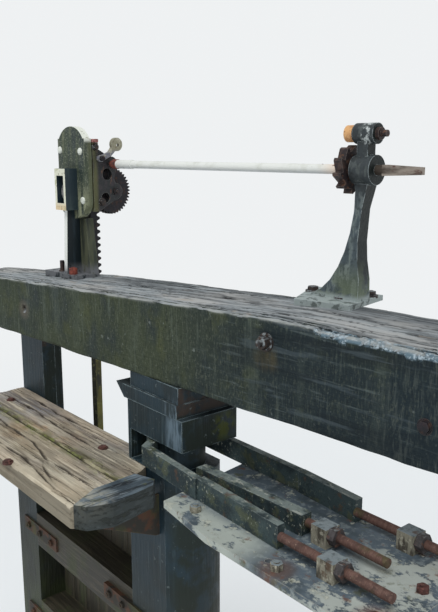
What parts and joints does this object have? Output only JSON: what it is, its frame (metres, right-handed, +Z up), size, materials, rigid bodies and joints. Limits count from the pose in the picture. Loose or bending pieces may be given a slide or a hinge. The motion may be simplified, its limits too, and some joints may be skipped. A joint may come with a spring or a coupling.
{
  "type": "canal lock gate with paddle sluice",
  "caption": "Mitre lock gate leaf with balance beam, rack-and-pinion paddle gear, white spindle, cast pedestal and pawl, walkway plank, pintle and iron collar anchorage.",
  "frame": {"origin": "underside of the pintle's base on the heel axis, about which the leaf swings", "axes": "+Z up, +X along the balance beam towards its handle end, +Y upstream, towards the paddle side of the leaf"},
  "size_m": [4.77, 1.0853, 4.52],
  "materials": {
    "timber_tarred": "tarred oak, near black with algae",
    "timber_weathered": "bare weathered oak, grey brown with deep shakes",
    "iron_black": "old black paint on cast iron, worn",
    "iron_rust": "rust",
    "iron_bed": "flaking blue-grey paint on iron",
    "iron_lichen": "iron with pale lichen",
    "paint_white": "white paint on iron",
    "paint_cream": "cream paint on iron"
  },
  "bodies": {
    "anchorage": {"pintle": "iron_black", "bed_plate": "iron_bed", "collar_strap": "iron_lichen", "strap_bars": "iron_lichen", "middle_channel": "iron_lichen", "tie_rods": "iron_rust", "tie_rod_nuts": "iron_rust", "tie_rod_lugs": "iron_lichen"},
    "leaf": {"heel_post": "timber_tarred", "heel_pot": "iron_black", "heel_cap_slab": "timber_tarred", "heel_packing": "timber_tarred", "mitre_post": "timber_tarred", "bottom_rail": "timber_tarred", "lower_rail": "timber_tarred", "middle_rail": "timber_tarred", "upper_rail": "timber_tarred", "top_rail": "timber_weathered", "sheathing": "timber_tarred", "rail_irons": "iron_black", "paddle_frame": "iron_black", "paddle_guides": "iron_black", "walkway_plank": "timber_weathered", "walkway_brackets": "iron_black", "walkway_end_piece": "timber_weathered", "balance_beam": "timber_tarred", "rack_column": "iron_black", "gear_front_plate": "iron_black", "roller_box": "paint_white", "gear_cheeks": "iron_black", "bearing_bracket": "iron_black", "catch_pin": "iron_black", "pedestal": "iron_black", "pawl_pin": "iron_rust"},
    "paddle_set": {"paddle": "timber_tarred", "paddle_rod": "iron_rust", "rack": "iron_black"},
    "gear_set": {"gear_shaft": "iron_black", "gear_wheel": "iron_black"},
    "spindle_set": {"spindle": "paint_white", "spindle_pinion": "iron_black", "ratchet_wheel": "iron_black"},
    "roller": {"guide_roller": "iron_black"},
    "pawl": {"pawl": "paint_cream"},
    "catch": {"locking_catch": "paint_cream"}
  },
  "joints": [
    {"name": "gate_swing", "type": "hinge", "parent": "anchorage", "child": "leaf", "pos_m": [0, 0, 0], "axis": [0, 0, 1], "range_deg": [-72, 0]},
    {"name": "paddle_lift", "type": "slide", "parent": "leaf", "child": "paddle_set", "axis": [0, 0, 1], "range_m": [0, 0.45239]},
    {"name": "gear_turn", "type": "hinge", "parent": "leaf", "child": "gear_set", "pos_m": [-0.9, 0.306, 4.174], "axis": [1, 0, 0], "range_deg": [-540.01, 0.01]},
    {"name": "spindle_turn", "type": "hinge", "parent": "leaf", "child": "spindle_set", "pos_m": [0, 0.28, 4.32173], "axis": [1, 0, 0], "range_deg": [-0.01, 2160.01]},
    {"name": "roller_turn", "type": "hinge", "parent": "leaf", "child": "roller", "pos_m": [-0.985, 0.134, 4.174], "axis": [1, 0, 0], "range_deg": [-0.01, 370.3]},
    {"name": "pawl_swing", "type": "hinge", "parent": "leaf", "child": "pawl", "pos_m": [0.726, 0.28, 4.45973], "axis": [1, 0, 0], "range_deg": [0, 210]},
    {"name": "catch_swing", "type": "hinge", "parent": "leaf", "child": "catch", "pos_m": [-0.85, 0.2, 4.352], "axis": [1, 0, 0], "range_deg": [0, 50]}
  ],
  "couplings": [
    {"joint": "gear_turn", "follows": "paddle_lift", "rad_per_m": -20.833},
    {"joint": "spindle_turn", "follows": "paddle_lift", "rad_per_m": 83.333},
    {"joint": "roller_turn", "follows": "paddle_lift", "rad_per_m": 14.286}
  ]
}
